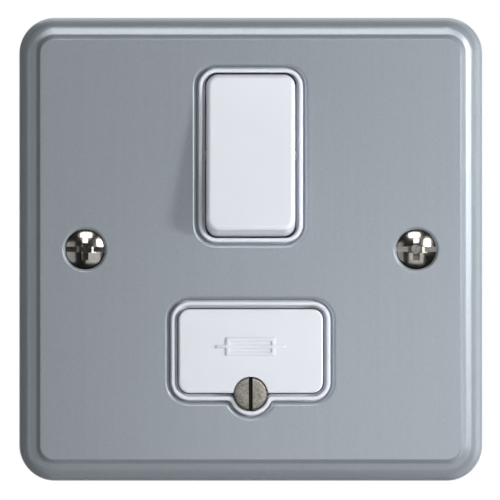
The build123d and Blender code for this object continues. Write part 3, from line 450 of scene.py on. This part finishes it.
def fuse_mark():
    """Fuse symbol moulded proud of the carrier: an outlined box with a line through it."""
    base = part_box("fuse_carrier")[0].y + MARK_SUNK
    form = bmesh.new()
    corners = {}
    # The box is outlined in the three middle columns, and the line is the middle row.
    for i in range(5):
        for j in range(5):
            boxed = 1 <= i <= 3 and (j in (0, 4) or i in (1, 3))
            if boxed or j == 2:
                ring = []
                for a, b in ((i, j), (i + 1, j), (i + 1, j + 1), (i, j + 1)):
                    if (a, b) not in corners:
                        height = MARK_MIDDLE + MARK_UP[b]
                        corners[a, b] = form.verts.new((MARK_ACROSS[a] * MM, base, height * MM))
                    ring.append(corners[a, b])
                form.faces.new(ring)
    raised = bmesh.ops.extrude_face_region(form, geom=form.faces[:])
    top = [v for v in raised["geom"] if isinstance(v, bmesh.types.BMVert)]
    bmesh.ops.translate(form, vec=(0, -MARK_SUNK - MARK_PROUD, 0), verts=top)
    bmesh.ops.recalc_face_normals(form, faces=form.faces)
    rims = [e for e in form.edges if e.calc_face_angle(0) > 1.0 and all(v in top for v in e.verts)]
    bmesh.ops.bevel(form, geom=rims, offset=MARK_ROUND, segments=3, profile=0.5, affect="EDGES")
    show("fuse_mark", meshed("fuse_mark", form), "carrier", "white_moulding")


def plunger_springs():
    """Each plunger's spring, between the plunger and the front end of its bore in the rocker, as a copy of its
    solid in place of it.
    """
    bpy.context.view_layer.update()
    for joint in frame["joints"]:
        for row in joint.get("deforming_nodes", []):
            node = frame["nodes"][row["node"]]
            coil = node.data.copy()
            coil.transform(node.matrix_world)
            piece = stand(row["node"] + "_coil", coil)
            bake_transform(piece)
            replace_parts(piece, row["node"])


# Stage, light and camera

def floor():
    """Pale floor below the unit that keeps its shadow and fades to white away from it."""
    grid = bmesh.new()
    bmesh.ops.create_grid(grid, x_segments=2, y_segments=2, size=FLOOR_REACH)
    mesh = meshed("floor", grid)
    piece = stand("floor", mesh)
    piece.location = (0, 0, cad_box[0][2] - FLOOR_BELOW)
    # Metal mirrors the room's white card behind the unit and its dark front, not the floor.
    piece.visible_glossy = False
    material, tree, shader, place = start_finish("pale_floor")
    shader.inputs["Base Color"].default_value = linear("#F2F2F2")
    shader.inputs["Roughness"].default_value = 0.8
    # Right below the unit a third of the look is plain white already, and further out all of it.
    far = add(tree, "ShaderNodeVectorMath", {0: place}, operation="LENGTH")
    fade = add(tree, "ShaderNodeMapRange", {
        "Value": far.outputs["Value"], "From Min": FLOOR_WHITE_FROM, "From Max": FLOOR_WHITE_AT})
    rays = add(tree, "ShaderNodeLightPath")
    seen = add(tree, "ShaderNodeMath", {
        0: rays.outputs["Is Camera Ray"], 1: rays.outputs["Is Transmission Ray"]}, operation="MAXIMUM")
    share = add(tree, "ShaderNodeMath", {0: seen.outputs[0], 1: fade.outputs[0]}, operation="MULTIPLY")
    white = add(tree, "ShaderNodeEmission", {"Strength": 1.0})
    both = add(tree, "ShaderNodeMixShader", {
        0: share.outputs[0], 1: shader.outputs[0], 2: white.outputs[0]})
    tree.links.new(both.outputs[0], tree.nodes["Material Output"].inputs["Surface"])
    mesh.materials.append(material)


def softbox(name, right, up, distance, width, height, watts, mirrored=True):
    """Rectangular studio lamp, so many degrees right of the front and above it, aimed at the unit."""
    lamp = bpy.data.lights.new(name, "AREA")
    lamp.shape = "RECTANGLE"
    lamp.size = width
    lamp.size_y = height
    lamp.energy = watts
    piece = stand(name, lamp)
    level = cos(radians(up))
    direction = Vector((sin(radians(right)) * level, -cos(radians(right)) * level, sin(radians(up))))
    piece.location = direction * distance
    piece.rotation_euler = direction.to_track_quat("Z", "Y").to_euler()
    piece.visible_camera = False
    # A lamp that isn't mirrored lights the unit, but glossy faces show no image of it.
    piece.visible_glossy = mirrored


def studio_room():
    """World: white to the camera. The unit sees a dark front, pale walls beside and a white card behind."""
    world = bpy.data.worlds.new("studio_room")
    bpy.context.scene.world = world
    world.use_nodes = True
    tree = world.node_tree
    rays = add(tree, "ShaderNodeLightPath")
    direction = add(tree, "ShaderNodeTexCoord").outputs["Generated"]
    back = add(tree, "ShaderNodeSeparateXYZ", {0: direction}).outputs["Y"]
    # The wall to the right and above is the brighter one.
    side = add(tree, "ShaderNodeVectorMath", {0: direction, 1: (0.8, 0.0, 0.6)}, operation="DOT_PRODUCT")
    spread = add(tree, "ShaderNodeMapRange", {
        "Value": side.outputs["Value"], "From Min": -1.0, "From Max": 1.0})
    walls = add(tree, "ShaderNodeValToRGB", {"Fac": spread.outputs[0]})
    walls.color_ramp.elements[0].color = linear("#383838")
    walls.color_ramp.elements[1].color = linear("#B4B4B4")
    beside = add(tree, "ShaderNodeMapRange", {"Value": back, "From Min": -0.45, "From Max": 0.0})
    studio = add(tree, "ShaderNodeMixRGB", {
        0: beside.outputs[0], 1: linear("#1E1E1E"), 2: walls.outputs[0]})
    # Metal mirrors the white card behind the unit.
    card = add(tree, "ShaderNodeMapRange", {"Value": back, "From Min": 0.75, "From Max": 0.92})
    mirrored = add(tree, "ShaderNodeMath", {
        0: rays.outputs["Is Glossy Ray"], 1: rays.outputs["Is Transmission Ray"]}, operation="MAXIMUM")
    mirrored = add(tree, "ShaderNodeMath", {
        0: mirrored.outputs[0], 1: card.outputs[0]}, operation="MULTIPLY")
    white = add(tree, "ShaderNodeMath", {
        0: rays.outputs["Is Camera Ray"], 1: mirrored.outputs[0]}, operation="MAXIMUM")
    shown = add(tree, "ShaderNodeMixRGB", {
        0: white.outputs[0], 1: studio.outputs[0], 2: linear("#FFFFFF")})
    tree.links.new(shown.outputs[0], tree.nodes["Background"].inputs["Color"])
    # The room is too plain to need rays aimed at it.
    world.cycles.sampling_method = "NONE"


def front_camera():
    """Long lens straight on to the plate, as the photograph was taken."""
    lens = bpy.data.cameras.new("front_camera")
    lens.sensor_width = CAMERA_SENSOR
    lens.lens = CAMERA_LENS
    piece = stand("front_camera", lens)
    piece.location = (-CAMERA_OFF_MIDDLE, -CAMERA_AWAY, -CAMERA_OFF_MIDDLE)
    piece.rotation_euler = (radians(90), 0, 0)
    bpy.context.scene.camera = piece


dress_nodes()
floor()
fixing_screws()
carrier_screw()
fuse_mark()
plunger_springs()
# Each lamp: degrees to the right and up; distance, width and height in metres; watts.
softbox("key_right", 25, 9, 0.60, 0.10, 0.19, 0.68)
softbox("window_right", 58, 3, 0.40, 0.06, 0.10, 1.15, mirrored=False)
softbox("front_top", -1, 27, 1.20, 0.40, 0.15, 1.5)
softbox("front_card", 8, -13, 0.25, 0.12, 0.12, 0.031)
softbox("fill_left", -35, -5, 0.90, 0.40, 0.60, 0.30)
softbox("side_right", 85, 0, 0.55, 0.45, 0.50, 0.35)
softbox("behind_top", 180, 55, 0.80, 0.80, 0.60, 1.1)
studio_room()
front_camera()
bpy.context.scene.view_settings.view_transform = "Standard"
